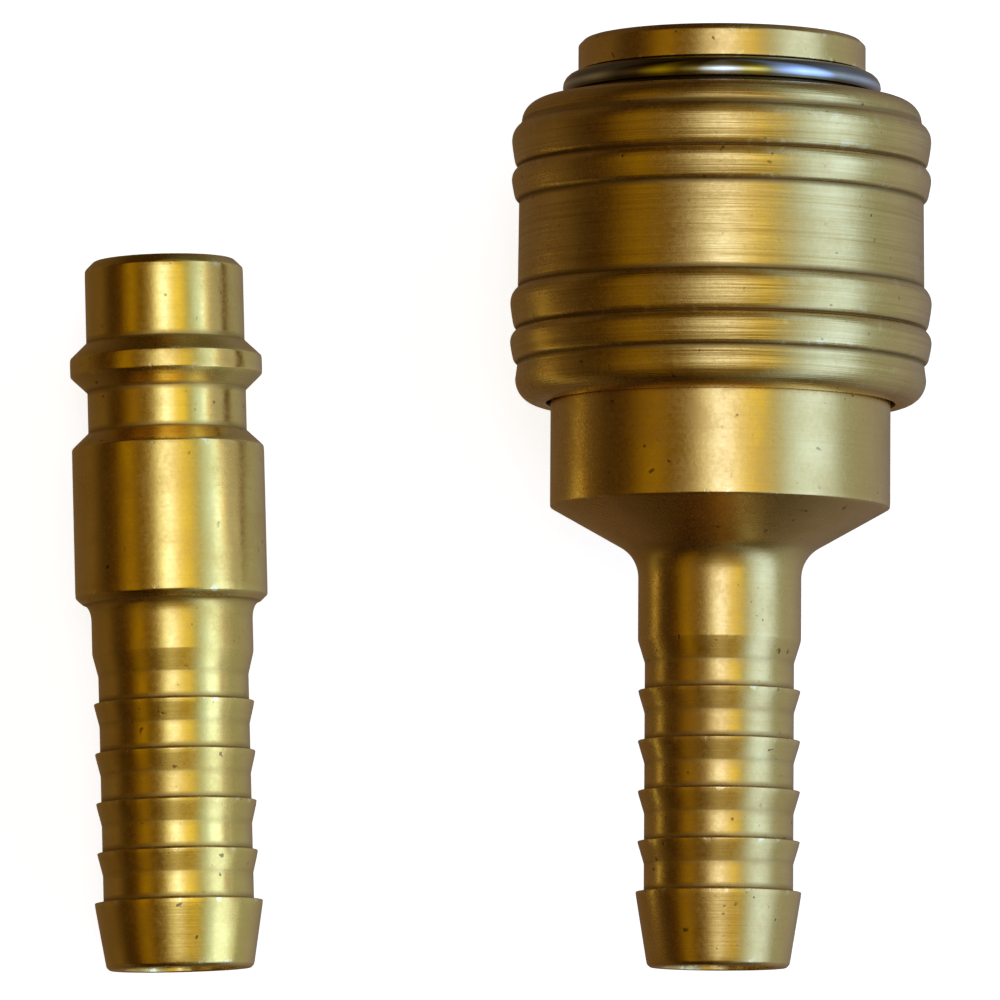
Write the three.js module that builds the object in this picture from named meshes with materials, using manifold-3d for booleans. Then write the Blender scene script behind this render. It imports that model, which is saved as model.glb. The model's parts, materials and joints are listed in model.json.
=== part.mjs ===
// Quick disconnect coupler for compressed air: a socket with a sliding locking sleeve, and the plug
// that pushes into it, each with a barbed tail for a 9 mm hose. The two halves are apart and lie side
// by side on a flat surface, noses pointing along +Y.
//
// Millimetres, +Z up. The origin is the centre of the footprint, on the surface that both halves lie on.
// Each half is turned about its own axis. A profile is a loop of points [r, y]: r is the distance from
// that axis, and y runs along it from the open end of the hose tail (y = 0) to the nose.
import * as THREE from "three";
import { mergeVertices } from "three/addons/utils/BufferGeometryUtils.js";
import Module from "manifold-3d";

const wasm = await Module();
wasm.setup();

// ---- Driving dimensions ----------------------------------------------------------------------------

const SIDES = 32; // flats round a large turned piece
const SMALL_SIDES = 24; // flats round a small one
const FIT = 0.1; // gap between pieces that touch or guide each other
const SEAT_GAP = 0.1; // gap along the axis between pieces that rest on each other

const axisSpacing = 34.0; // between the two axes, halfway along the plug
const plugLean = THREE.MathUtils.degToRad(1.9); // the plug lies a little out of line with the socket

// The plug: nose, collar, locking groove and body, then the hose tail
const plug = {
  bodyRadius: 6.0,
  noseRadius: 4.95,
  grooveRadius: 4.95,
  bodyLength: 9.3,
  shoulderLength: 1.45, // the hollow curve between the body and the neck
  grooveLength: 2.55,
  collarLength: 1.1,
  noseLength: 5.1,
  noseChamfer: 0.55,
  noseBore: 3.6,
  noseBoreLength: 8,
  coneSlope: 1.05, // radius over length, on the collar's and the body's cones
};

// A barbed hose tail: an end cone, small barbs, then a plain neck
const plugTail = {
  endRadius: 4.6,
  endBarbRadius: 5.25,
  endBarbLength: 4.2,
  valleyRadius: 4.68,
  barbRadius: 5.02,
  pitch: 3.1,
  barbs: 4,
  barbCone: 1.4,
  neckRadius: 5.03,
  neckLength: 2.1,
  bore: 3.5,
  endChamfer: 0.2,
};
const socketTail = {
  ...plugTail,
  endRadius: 4.4,
  endBarbRadius: 5.12,
  endBarbLength: 4.65,
  valleyRadius: 4.6,
  neckLength: 5.15,
};

// The socket's rear body, which carries the hose tail
const rearBody = {
  radius: 10.5,
  length: 8.6, // of its cylinder
  coneSlope: 1.77, // radius over length, down to the neck
  neckFillet: 2.2,
  threadRadius: 8.25,
  threadDepth: 6.4,
  guideSeatDepth: 3.2, // from the thread's floor to the seat of the valve guide
};

// The sliding sleeve, with two pairs of rounded grip beads
const sleeve = {
  radius: 12.5,
  length: 18.95,
  overlap: 2.2, // how far it covers the rear body when forward
  bore: 10.8,
  rimRadius: 12.7,
  rimRound: 1.5,
  rimLength: 2.45,
  frontBead: 2.6, // the wider bead of each pair, in front
  rearBead: 2.1,
  beadRise: 0.46,
  frontPairFromFront: 4.3, // the groove between the front pair of beads
  frontSlope: 0.15, // length over radius on the front face
  shoulderRound: 1.3,
  landLength: 2.0,
  travel: 4.0,
};

// The locking balls, six round the receiver
const ball = {
  radius: 1.75,
  count: 6,
  depth: 9.8, // from the mouth to the ball's centre
  lift: 1.05, // how far out it moves to let the collar past
};

// The receiver that takes the plug
const receiver = {
  lipRadius: 8.9,
  lipLength: 2.0,
  lipRound: 0.35,
  grooveRadius: 8.05,
  radius: 8.3,
  mouthRadius: 7.0,
  mouthChamfer: 0.8,
  boreClearance: 0.2, // round the plug's body
  noseClearance: 0.15, // round the plug's nose
  noseBoreLength: 1.05,
  chamberRadius: 7.0,
  stopRadius: 8.8,
  stopLength: 1.0,
};

const ringWire = 0.85; // radius of the retaining ring's wire
const ringProud = 0.7; // from the sleeve's front face to the middle of the ring
const ringSlot = 2.0; // gap where the ring's ends meet
const ringOutside = receiver.grooveRadius + FIT + 2 * ringWire;
const noseSealLength = 3.1;
const valveSeatLength = 1.6;
const gasketThickness = 0.5;
const washerThickness = 0.4;

// The valve
const poppet = {
  travel: 3.2,
  headRadius: 6.4,
  headLength: 1.05,
  bossRadius: 4.55,
  bossBore: 3.6,
  windowHeight: 2.2,
  windows: 4,
  legWidth: 1.5,
  stemRadius: 1.2,
  sealRadius: 6.1,
  sealLength: 1.0,
};
const valveGuide = { length: 1.0, hubRadius: 2.4, holes: 3, holeRadius: 1.5 };
const sleeveSpring = { wire: 0.9, turns: 2.75 };
const valveSpring = { wire: 0.5, turns: 3 };

// ---- Places along the socket's axis, worked out from the sizes above ---------------------------------

const tailLength = (t) => t.endBarbLength + t.barbs * t.pitch + t.pitch + t.neckLength;
const neckEnd = tailLength(socketTail);
const coneLength = (rearBody.radius - socketTail.neckRadius) / rearBody.coneSlope;
const rearBodyStart = neckEnd + coneLength;
const rearFace = rearBodyStart + rearBody.length;
const sleeveRear = rearFace - sleeve.overlap;
const sleeveFront = sleeveRear + sleeve.length;
const ringCentre = sleeveFront + ringProud;
const mouth = ringCentre + ringWire + SEAT_GAP + receiver.lipLength;
const ballCentre = mouth - ball.depth;
const threadFloor = rearFace - rearBody.threadDepth;
const guideSeat = threadFloor - rearBody.guideSeatDepth;

// The plug's nose when it is home: its groove lies under the balls
const plugConeLength = (plug.bodyRadius - plug.grooveRadius) / plug.coneSlope;
const noseConeLength = (plug.bodyRadius - plug.noseRadius) / plug.coneSlope;
const grooveToTip = plug.grooveLength / 2 + plugConeLength + plug.collarLength + noseConeLength
  + plug.noseLength;
const tipWhenHome = ballCentre - grooveToTip;
const noseBore = plug.noseRadius + receiver.noseClearance;
const plugBore = plug.bodyRadius + receiver.boreClearance;
const boreStep = tipWhenHome + plug.noseLength + 0.75;
const sealFront = boreStep - (plugBore - noseBore) - receiver.noseBoreLength;
const valveSeatFront = sealFront - noseSealLength - 2 * SEAT_GAP;
const valveSeatRear = valveSeatFront - valveSeatLength;
const poppetSealFront = valveSeatRear - 2 * SEAT_GAP;
const headFront = poppetSealFront - poppet.sealLength - SEAT_GAP / 2;
const headRear = headFront - poppet.headLength;
const bossFront = tipWhenHome + poppet.travel;
const guideFront = guideSeat + SEAT_GAP + valveGuide.length;
const ballReach = plug.grooveRadius + ball.radius + 0.05; // the ball's centre when it is locked
const camSlope = ball.lift / sleeve.travel;

// ---- Tools --------------------------------------------------------------------------------------------

const brass = new THREE.MeshStandardMaterial({ color: 0xb58a35, roughness: 0.32, metalness: 1 });
const steel = new THREE.MeshStandardMaterial({ color: 0xb9bbbd, roughness: 0.15, metalness: 1 });
const rubber = new THREE.MeshStandardMaterial({ color: 0x141414, roughness: 0.7, metalness: 0 });

// Points on an arc round [r, y], at angles in degrees from +r towards +y
function arc(centreR, centreY, radius, fromDeg, toDeg, steps) {
  return Array.from({ length: steps + 1 }, (_, i) => {
    const a = THREE.MathUtils.degToRad(fromDeg + ((toDeg - fromDeg) * i) / steps);
    return [centreR + radius * Math.cos(a), centreY + radius * Math.sin(a)];
  });
}

// The points of a profile, so that the middles of the flats are at the stated radius
function lathe(profile, sides) {
  const points = profile.map(([r, y]) => new THREE.Vector2(r / Math.cos(Math.PI / sides), y));
  return new THREE.LatheGeometry(points, sides, Math.PI / sides);
}

// A ring turned from a loop of points, up the outside and down the inside, with a flat at the bottom
function turned(profile, sides = SIDES) {
  return lathe([...profile, profile[0]], sides);
}

// A solid turned from points that start and end on the axis
function turnedSolid(profile, sides = SMALL_SIDES) {
  return lathe(profile, sides);
}

function toSolid(geometry) {
  const bare = geometry.clone();
  bare.deleteAttribute("normal");
  bare.deleteAttribute("uv");
  const merged = mergeVertices(bare, 1e-4);
  const vertProperties = new Float32Array(merged.attributes.position.array);
  return new wasm.Manifold(
    new wasm.Mesh({ numProp: 3, vertProperties, triVerts: new Uint32Array(merged.index.array) }),
  );
}

function toGeometry(solid) {
  const mesh = solid.getMesh();
  const geometry = new THREE.BufferGeometry();
  geometry.setAttribute("position", new THREE.BufferAttribute(mesh.vertProperties, 3));
  geometry.setIndex(new THREE.BufferAttribute(mesh.triVerts, 1));
  geometry.computeVertexNormals();
  return geometry;
}

function cut(geometry, cutters) {
  return toGeometry(cutters.reduce((rest, c) => rest.subtract(toSolid(c)), toSolid(geometry)));
}

function join(geometries) {
  return toGeometry(geometries.map(toSolid).reduce((all, g) => all.add(g)));
}

function piece(name, geometry, material) {
  const mesh = new THREE.Mesh(geometry, material);
  mesh.name = name;
  return mesh;
}

// A round wire wound in a helix about +Y
class Helix extends THREE.Curve {
  constructor(radius, from, to, turns) {
    super();
    Object.assign(this, { radius, from, to, turns });
  }

  getPoint(t, target = new THREE.Vector3()) {
    const a = t * this.turns * 2 * Math.PI;
    const y = this.from + (this.to - this.from) * t;
    return target.set(this.radius * Math.cos(a), y, this.radius * Math.sin(a));
  }
}

function coilSpring(meanRadius, wire, turns, from, to) {
  const section = new THREE.Shape();
  section.absarc(0, 0, wire / 2, 0, 2 * Math.PI);
  const path = new Helix(meanRadius, from + wire / 2, to - wire / 2, turns);
  return new THREE.ExtrudeGeometry(section, {
    steps: Math.round(turns * 16),
    curveSegments: 6,
    bevelEnabled: false,
    extrudePath: path,
  });
}

// ---- Hose tail ----------------------------------------------------------------------------------------

// The outside of a hose tail, from its open end to the top of its neck. Each barb is a cone that rises
// away from the open end to a sharp step, with a plain valley behind the step.
function tailOutside(t) {
  const points = [
    [t.endRadius - t.endChamfer, 0],
    [t.endRadius, t.endChamfer],
    [t.endBarbRadius, t.endBarbLength],
  ];
  for (let i = 0; i < t.barbs; i += 1) {
    const peak = t.endBarbLength + (i + 1) * t.pitch;
    points.push([t.valleyRadius, peak - t.pitch + 0.08], [t.valleyRadius, peak - t.barbCone]);
    points.push([t.barbRadius, peak]);
  }
  const neckStart = t.endBarbLength + (t.barbs + 1) * t.pitch;
  points.push([t.valleyRadius, neckStart - t.pitch + 0.08], [t.valleyRadius, neckStart - t.barbCone]);
  points.push([t.neckRadius, neckStart]);
  return points;
}

// ---- The plug -----------------------------------------------------------------------------------------

function makePlug() {
  const neckTop = tailLength(plugTail);
  const bodyStart = neckTop + plug.shoulderLength;
  const bodyEnd = bodyStart + plug.bodyLength;
  const grooveStart = bodyEnd + plugConeLength;
  const grooveEnd = grooveStart + plug.grooveLength;
  const collarStart = grooveEnd + plugConeLength;
  const collarEnd = collarStart + plug.collarLength;
  const noseStart = collarEnd + noseConeLength;
  const tip = noseStart + plug.noseLength;
  const step = plug.bodyRadius - plugTail.neckRadius;
  const boreStepY = tip - plug.noseBoreLength;
  const outside = [
    ...tailOutside(plugTail),
    [plugTail.neckRadius, neckTop],
    [plugTail.neckRadius + 0.12 * step, neckTop + 0.45 * plug.shoulderLength],
    [plugTail.neckRadius + 0.45 * step, neckTop + 0.75 * plug.shoulderLength],
    [plug.bodyRadius, bodyStart],
    [plug.bodyRadius, bodyEnd],
    [plug.grooveRadius, grooveStart],
    [plug.grooveRadius, grooveEnd],
    [plug.bodyRadius, collarStart],
    [plug.bodyRadius, collarEnd],
    [plug.noseRadius, noseStart],
    [plug.noseRadius, tip - plug.noseChamfer],
    [plug.noseRadius - plug.noseChamfer, tip],
  ];
  const inside = [
    [plug.noseBore, tip],
    [plug.noseBore, boreStepY],
    [plugTail.bore, boreStepY - 0.6],
    [plugTail.bore, 0],
  ];
  return { mesh: piece("plug", turned([...outside, ...inside]), brass), length: tip };
}

// ---- The socket's fixed pieces ------------------------------------------------------------------------

function makeHoseTail() {
  const { neckFillet: fillet, coneSlope, radius } = rearBody;
  const coneAngle = THREE.MathUtils.radToDeg(Math.atan(coneSlope));
  const setBack = fillet * Math.tan(THREE.MathUtils.degToRad(coneAngle) / 2);
  const filletRound = arc(
    socketTail.neckRadius + fillet, neckEnd - setBack, fillet, 180, 180 - coneAngle, 4,
  );
  const chamber = receiver.chamberRadius - FIT;
  const outside = [
    ...tailOutside(socketTail),
    ...filletRound,
    [radius, rearBodyStart],
    [radius, rearFace - 0.2],
    [radius - 0.2, rearFace],
  ];
  const inside = [
    [rearBody.threadRadius, rearFace],
    [rearBody.threadRadius, threadFloor],
    [chamber, threadFloor],
    [chamber, guideSeat],
    [chamber - 1.4, guideSeat],
    [socketTail.bore, guideSeat - 2.4],
    [socketTail.bore, 0],
  ];
  return piece("hose_tail", turned([...outside, ...inside]), brass);
}

function ballAngle(i) {
  return ((i + 0.5) * 2 * Math.PI) / ball.count;
}

// A shape made about +Y, turned to point out from the socket's axis at an angle round it from +Z
function pointingOut(geometry, angle, y) {
  return geometry.rotateX(Math.PI / 2).rotateY(angle).translate(0, y, 0);
}

function makeReceiver() {
  const rear = threadFloor + gasketThickness + 2 * SEAT_GAP;
  const stopRear = rearFace + SEAT_GAP;
  const thread = rearBody.threadRadius - FIT;
  const lipRear = mouth - receiver.lipLength;
  const outside = [
    [thread, rear],
    [thread, stopRear],
    [receiver.stopRadius, stopRear],
    [receiver.stopRadius, stopRear + receiver.stopLength],
    [receiver.radius, stopRear + receiver.stopLength],
    [receiver.radius, ringCentre - ringWire - SEAT_GAP],
    [receiver.grooveRadius, ringCentre - ringWire - SEAT_GAP],
    [receiver.grooveRadius, lipRear],
    [receiver.lipRadius, lipRear],
    [receiver.lipRadius, mouth - receiver.lipRound],
    [receiver.lipRadius - receiver.lipRound, mouth],
  ];
  const inside = [
    [receiver.mouthRadius, mouth],
    [plugBore, mouth - receiver.mouthChamfer],
    [plugBore, boreStep],
    [noseBore, boreStep - (plugBore - noseBore)],
    [noseBore, sealFront],
    [receiver.chamberRadius, sealFront],
    [receiver.chamberRadius, rear],
  ];
  // Each ball's hole ends in a round seat at the bore, so that the ball can't fall through
  const holeTop = ballReach + ball.radius + ball.lift;
  const hole = [
    ...arc(0, ballReach, ball.radius + 0.6 * FIT, -90, 0, 6),
    [ball.radius + 1.5 * FIT, ballReach],
    [ball.radius + 1.5 * FIT, holeTop],
    [0, holeTop],
  ];
  const holes = Array.from({ length: ball.count }, (_, i) =>
    pointingOut(turnedSolid(hole, 16), ballAngle(i), ballCentre));
  return piece("receiver", cut(turned([...outside, ...inside]), holes), brass);
}

function makeRetainingRing() {
  const ring = turned(arc(receiver.grooveRadius + FIT + ringWire, ringCentre, ringWire, 0, 324, 9));
  const slot = new THREE.BoxGeometry(ringSlot, 4 * ringWire, 4 * ringWire);
  slot.translate(0, ringCentre, -(receiver.grooveRadius + FIT + ringWire));
  return piece("retaining_ring", cut(ring, [slot]), steel);
}

function makeNoseSeal() {
  const rear = sealFront - SEAT_GAP - noseSealLength;
  const outer = receiver.chamberRadius - FIT;
  const inner = plug.noseRadius + 0.05;
  const profile = [
    [outer, rear],
    [outer, rear + noseSealLength],
    [inner + 0.5, rear + noseSealLength],
    [inner, rear + noseSealLength - 0.6],
    [inner + 0.45, rear + noseSealLength / 2],
    [inner, rear + 0.6],
    [inner + 0.5, rear],
  ];
  return piece("nose_seal", turned(profile, SMALL_SIDES), rubber);
}

function makeValveSeat() {
  const outer = receiver.chamberRadius - FIT;
  const profile = [
    [5.65, valveSeatRear - 0.1],
    [5.9, valveSeatRear + 0.2],
    [outer, valveSeatRear + 0.2],
    [outer, valveSeatFront],
    [noseBore, valveSeatFront],
    [noseBore, valveSeatRear + 0.2],
    [noseBore + 0.2, valveSeatRear - 0.1],
  ];
  return piece("valve_seat", turned(profile, SMALL_SIDES), brass);
}

function makeBodyGasket() {
  const outer = rearBody.threadRadius - 2 * FIT;
  const inner = receiver.chamberRadius + FIT / 2;
  const rear = threadFloor + SEAT_GAP;
  const profile = [
    [outer, rear],
    [outer, rear + gasketThickness],
    [inner, rear + gasketThickness],
    [inner, rear],
  ];
  return piece("body_gasket", turned(profile, SMALL_SIDES), rubber);
}

// The washer that the sleeve's spring pushes on
function makeSpringWasher() {
  const outer = rearBody.radius - 2 * FIT;
  const inner = receiver.stopRadius + FIT;
  const rear = rearFace + SEAT_GAP;
  const profile = [
    [outer, rear],
    [outer, rear + washerThickness],
    [inner, rear + washerThickness],
    [inner, rear],
  ];
  return piece("spring_washer", turned(profile), steel);
}

function makeValveGuide() {
  const rear = guideSeat + SEAT_GAP;
  const outer = receiver.chamberRadius - 2.5 * FIT;
  const bore = poppet.stemRadius + FIT;
  const disc = turned([
    [outer, rear],
    [outer, guideFront],
    [valveGuide.hubRadius, guideFront],
    [bore, guideFront],
    [bore, rear - 1.2],
    [valveGuide.hubRadius, rear - 1.2],
    [valveGuide.hubRadius, rear],
  ], SMALL_SIDES);
  const middle = (valveGuide.hubRadius + outer) / 2 - 0.15;
  const holes = Array.from({ length: 2 * valveGuide.holes }, (_, i) => {
    const angle = (i * Math.PI) / valveGuide.holes;
    const hole = new THREE.CylinderGeometry(valveGuide.holeRadius, valveGuide.holeRadius, 4, 12);
    return hole.translate(middle * Math.sin(angle), guideFront, middle * Math.cos(angle));
  });
  return piece("valve_guide", cut(disc, holes), brass);
}

// ---- The socket's moving pieces -----------------------------------------------------------------------

// A pair of beads about a groove at y, as points on the sleeve's outside. Each bead rises steeply at its
// rear, leans out to a crown, and rounds over to the front. The shape is shares of its width and its rise.
function beadPair(y, radius) {
  const { frontBead, rearBead, beadRise: rise } = sleeve;
  const shape = [[0, 0], [0.07, 0.42], [0.15, 0.62], [0.55, 0.97], [0.68, 1], [0.82, 0.84], [0.94, 0.42]];
  const bead = (rear, width) => shape.map(([t, h]) => [radius + h * rise, rear + t * width]);
  return [...bead(y - rearBead, rearBead), ...bead(y, frontBead), [radius, y + frontBead]];
}

function makeSleeve() {
  const { radius, bore, rimRadius, rimRound, shoulderRound: shoulder } = sleeve;
  const rim = arc(rimRadius - rimRound, sleeveRear + rimRound, rimRound, -90, 0, 4);
  const rearPair = sleeveRear + sleeve.rimLength + sleeve.rearBead;
  const frontPair = sleeveFront - sleeve.frontPairFromFront;
  const frontBore = ringOutside + 2 * FIT;
  const frontLand = radius - 0.12;
  const slopeDeg = 90 - THREE.MathUtils.radToDeg(Math.atan(sleeve.frontSlope));
  // The shoulder's arc ends where its tangent is the sloping front face
  const endR = frontLand - shoulder + shoulder * Math.cos(THREE.MathUtils.degToRad(slopeDeg));
  const endY = sleeveFront - (endR - frontBore) * sleeve.frontSlope;
  const centreY = endY - shoulder * Math.sin(THREE.MathUtils.degToRad(slopeDeg));
  // The cam lies a ball's radius and a gap outside the line that the balls' centres follow
  const offset = (ball.radius + 1.2 * FIT) * Math.hypot(1, camSlope);
  const cam = (y) => ballReach + offset + camSlope * (y - ballCentre);
  const camStart = ballCentre - 0.4;
  const camEnd = ballCentre + sleeve.travel;
  const ringSeat = ringCentre - ringWire - SEAT_GAP;
  const frontLipRear = ringSeat - 0.5;
  const lipBore = receiver.radius + 3.5 * FIT;
  const profile = [
    [bore, sleeveRear],
    ...rim,
    ...beadPair(rearPair, radius + 0.07),
    [radius, rearPair + sleeve.frontBead + 0.05],
    [radius, frontPair - sleeve.rearBead - 0.05],
    ...beadPair(frontPair, radius + 0.02),
    ...arc(frontLand - shoulder, centreY, shoulder, 0, slopeDeg, 4),
    [frontBore, sleeveFront],
    [frontBore, ringSeat],
    [lipBore, ringSeat],
    [lipBore, frontLipRear + 0.28], // bevelled behind, clear of the raised balls when the sleeve is back
    [lipBore + 0.45, frontLipRear],
    [cam(camEnd), frontLipRear],
    [cam(camEnd), camEnd],
    [cam(camStart), camStart],
    [cam(camStart), camStart - sleeve.landLength],
    [bore, camStart - sleeve.landLength],
  ];
  return { mesh: piece("sleeve", turned(profile), brass), springSeat: camStart - sleeve.landLength };
}

function makeBalls() {
  return Array.from({ length: ball.count }, (_, i) => {
    const geometry = new THREE.SphereGeometry(ball.radius, 12, 8);
    pointingOut(geometry.translate(0, ballReach, 0), ballAngle(i), ballCentre);
    return piece(`locking_ball_${i + 1}`, geometry, steel);
  });
}

function makePoppet() {
  const stemEnd = guideSeat - 0.3;
  const floor = headFront + 0.7;
  const body = turnedSolid([
    [0, stemEnd],
    [poppet.stemRadius, stemEnd],
    [poppet.stemRadius, headRear - 0.8],
    [poppet.stemRadius + 0.8, headRear],
    [poppet.headRadius, headRear],
    [poppet.headRadius, headFront],
    [poppet.bossRadius, headFront],
    [poppet.bossRadius, bossFront],
    [poppet.bossBore, bossFront],
    [poppet.bossBore, floor],
    [0, floor],
  ]);
  const windowBase = poppetSealFront + 0.3;
  const quadrant = (2 * Math.PI) / poppet.windows;
  const windows = Array.from({ length: poppet.windows }, (_, i) => {
    const width = 2 * (poppet.bossBore * Math.sin(quadrant / 2) - poppet.legWidth / 2);
    const box = new THREE.BoxGeometry(width, poppet.windowHeight, poppet.bossRadius);
    box.translate(0, windowBase + poppet.windowHeight / 2, poppet.bossBore);
    return box.rotateY(i * quadrant);
  });
  return piece("poppet", cut(body, windows), brass);
}

function makePoppetSeal() {
  const inner = poppet.bossRadius + FIT;
  const rear = headFront + SEAT_GAP / 2;
  const profile = [
    [poppet.sealRadius, rear],
    [poppet.sealRadius, poppetSealFront],
    [inner, poppetSealFront],
    [inner, rear],
  ];
  return piece("poppet_seal", turned(profile, SMALL_SIDES), rubber);
}

// ---- The assembly -------------------------------------------------------------------------------------

const lowest = (object) => new THREE.Box3().setFromObject(object, true).min.z;

const socketHalf = new THREE.Group();
const sleevePiece = makeSleeve();
const sleeveSpringRadius = (receiver.stopRadius + sleeve.bore) / 2 - 0.1;
const valveSpringRadius = valveGuide.hubRadius + 0.9;
socketHalf.add(
  makeHoseTail(),
  makeReceiver(),
  makeRetainingRing(),
  makeNoseSeal(),
  makeValveSeat(),
  makeBodyGasket(),
  makeSpringWasher(),
  makeValveGuide(),
  sleevePiece.mesh,
  ...makeBalls(),
  makePoppet(),
  makePoppetSeal(),
  piece("sleeve_spring", coilSpring(
    sleeveSpringRadius, sleeveSpring.wire, sleeveSpring.turns,
    rearFace + washerThickness + 2 * SEAT_GAP, sleevePiece.springSeat - SEAT_GAP,
  ), steel),
  piece("valve_spring", coilSpring(
    valveSpringRadius, valveSpring.wire, valveSpring.turns,
    guideFront + SEAT_GAP, headRear - SEAT_GAP,
  ), steel),
);
socketHalf.position.set(axisSpacing / 2, 0, 0);
socketHalf.position.z = -lowest(socketHalf);

// The plug lies on its collar and its body, turned by its lean about its middle
const plugPiece = makePlug();
plugPiece.mesh.position.y = -plugPiece.length / 2;
const plugHalf = new THREE.Group().add(plugPiece.mesh);
plugHalf.rotation.z = plugLean;
plugHalf.position.set(-axisSpacing / 2, plugPiece.length / 2, 0);
plugHalf.position.z = -lowest(plugHalf);

const coupler = new THREE.Group().add(socketHalf, plugHalf);
const footprint = new THREE.Box3().setFromObject(coupler, true).getCenter(new THREE.Vector3());
coupler.position.set(-footprint.x, -footprint.y, 0);

export default coupler;
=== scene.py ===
"""Quick disconnect coupler for compressed air, shown as its socket and its plug lying side by side.

The packed frame gives the bodies and the places. Every turned piece here is one outline carried round
its half's axis: an outline is a loop of points (r, y), in millimetres, where r is the distance from the
axis and y runs along it from the open end of the hose tail. Row coordinates are metres.
"""
import json
import math
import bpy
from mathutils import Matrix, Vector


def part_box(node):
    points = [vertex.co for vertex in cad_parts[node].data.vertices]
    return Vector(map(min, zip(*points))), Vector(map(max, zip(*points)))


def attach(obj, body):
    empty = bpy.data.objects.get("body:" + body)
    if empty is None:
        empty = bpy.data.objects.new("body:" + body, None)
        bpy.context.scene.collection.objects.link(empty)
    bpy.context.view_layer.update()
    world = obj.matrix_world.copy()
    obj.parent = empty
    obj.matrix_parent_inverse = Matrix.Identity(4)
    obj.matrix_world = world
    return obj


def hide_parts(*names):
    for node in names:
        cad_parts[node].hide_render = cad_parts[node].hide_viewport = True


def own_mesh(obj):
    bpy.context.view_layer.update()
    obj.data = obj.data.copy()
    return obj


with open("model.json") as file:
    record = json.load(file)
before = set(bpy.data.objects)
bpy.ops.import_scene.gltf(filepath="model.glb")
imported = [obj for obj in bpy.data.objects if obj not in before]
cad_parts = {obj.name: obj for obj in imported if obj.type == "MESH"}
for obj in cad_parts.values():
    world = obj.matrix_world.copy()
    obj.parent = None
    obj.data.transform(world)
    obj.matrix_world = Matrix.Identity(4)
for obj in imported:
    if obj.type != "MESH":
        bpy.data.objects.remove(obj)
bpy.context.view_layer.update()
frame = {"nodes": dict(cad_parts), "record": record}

from types import SimpleNamespace as Sizes

import bmesh
import bpy
import numpy as np
from mathutils import Vector

MM = 0.001
AROUND = 224  # points round a large turned piece

# ---- Sizes, in millimetres -----------------------------------------------------------------------------

GAP = 0.1  # between pieces that touch or guide each other

PLUG_TAIL = Sizes(end=4.6, end_barb=5.25, end_barb_length=4.2, valley=4.68, barb=5.02, pitch=3.1, barbs=4,
                  cone=1.4, neck=5.03, neck_length=2.1, bore=3.5, chamfer=0.2)
SOCKET_TAIL = Sizes(**{**vars(PLUG_TAIL), "end": 4.4, "end_barb": 5.12, "end_barb_length": 4.65,
                       "valley": 4.6, "neck_length": 5.15})
PLUG_SIZES = Sizes(body=6.0, body_length=9.3, groove=4.95, groove_length=2.55, collar_length=1.1, nose=4.95,
                   nose_length=5.1, nose_chamfer=0.55, nose_bore=3.6, nose_bore_length=8.0, cone_slope=1.05,
                   shoulder_length=1.45, hollow_length=1.05, hollow_rise=0.55)
REAR_BODY = Sizes(radius=10.5, length=8.6, chamfer=0.2, cone_slope=1.77, neck_fillet=2.2, thread=8.25,
                  thread_depth=6.4, seat=6.9, seat_depth=3.2, waist=5.5, waist_length=2.4)
SLEEVE = Sizes(radius=12.5, bore=10.8, rim=12.7, rim_round=1.5, rim_length=2.45, front_bead=2.6,
               rear_bead=2.1, bead_rise=0.46, front_pair=4.3, front_slope=0.15, front_land=12.38,
               shoulder=1.3, lip=0.5, lip_bevel=0.28, land_length=2.0, cam_lead=0.4, travel=4.0)
RECEIVER = Sizes(radius=8.3, lip=8.9, lip_length=2.0, lip_round=0.35, groove=8.05, mouth=7.0,
                 mouth_chamfer=0.8, bore=6.2, nose_bore=5.1, nose_bore_length=1.05, chamber=7.0, thread=8.15,
                 stop=8.8, stop_length=1.0)
RING_WIRE = 0.85
RING_BORE = RECEIVER.groove + GAP
BALL = Sizes(radius=1.75, reach=6.75, lift=1.05, hole_gap=0.15, seat_gap=0.06)

# ---- Places, from the frame ------------------------------------------------------------------------------


def middle(node):
    low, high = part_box(node)
    return (Vector(low) + Vector(high)) / 2


def along(node):
    """Where a socket node starts and ends along the socket's axis, in mm from the tail's end."""
    low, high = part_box(node)
    return (low[1] - TAIL_END) / MM, (high[1] - TAIL_END) / MM


MOUNTS = {m["name"]: m for m in frame["record"]["mounts"]}
TAIL_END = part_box("hose_tail")[0][1]
PLUG_DIRECTION = Vector(MOUNTS["plug_nose_face"]["axis"]).normalized()


def half_frame(origin, direction):
    """Columns side, along and up, and the origin: takes (x, y, z) in a half's own mm to row metres."""
    side = direction.cross(Vector((0, 0, 1))).normalized()
    turn = np.array([side, direction, side.cross(direction)]).T
    return turn, np.array(origin)


SOCKET_HEIGHT = MOUNTS["socket_tail_end"]["pos_m"][2]
SOCKET = half_frame((middle("sleeve").x, TAIL_END, SOCKET_HEIGHT), Vector((0, 1, 0)))
PLUG_SIDE = PLUG_DIRECTION.cross(Vector((0, 0, 1)))
# the mount on the tail's end face is halfway across the rim between its bore and its chamfer
RIM_MIDDLE = (PLUG_TAIL.bore + PLUG_TAIL.end - PLUG_TAIL.chamfer) / 2 * MM
PLUG_ORIGIN = Vector(MOUNTS["plug_tail_end"]["pos_m"]) - PLUG_SIDE * RIM_MIDDLE
PLUG = half_frame(PLUG_ORIGIN, PLUG_DIRECTION)

# ---- Outlines --------------------------------------------------------------------------------------------


def arc(centre_r, centre_y, radius, start, end, steps):
    """Points (cr + R cos a, cy + R sin a) for a from start to end, in degrees."""
    a = np.radians(np.linspace(start, end, steps + 1))
    return np.column_stack((centre_r + radius * np.cos(a), centre_y + radius * np.sin(a)))


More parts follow.
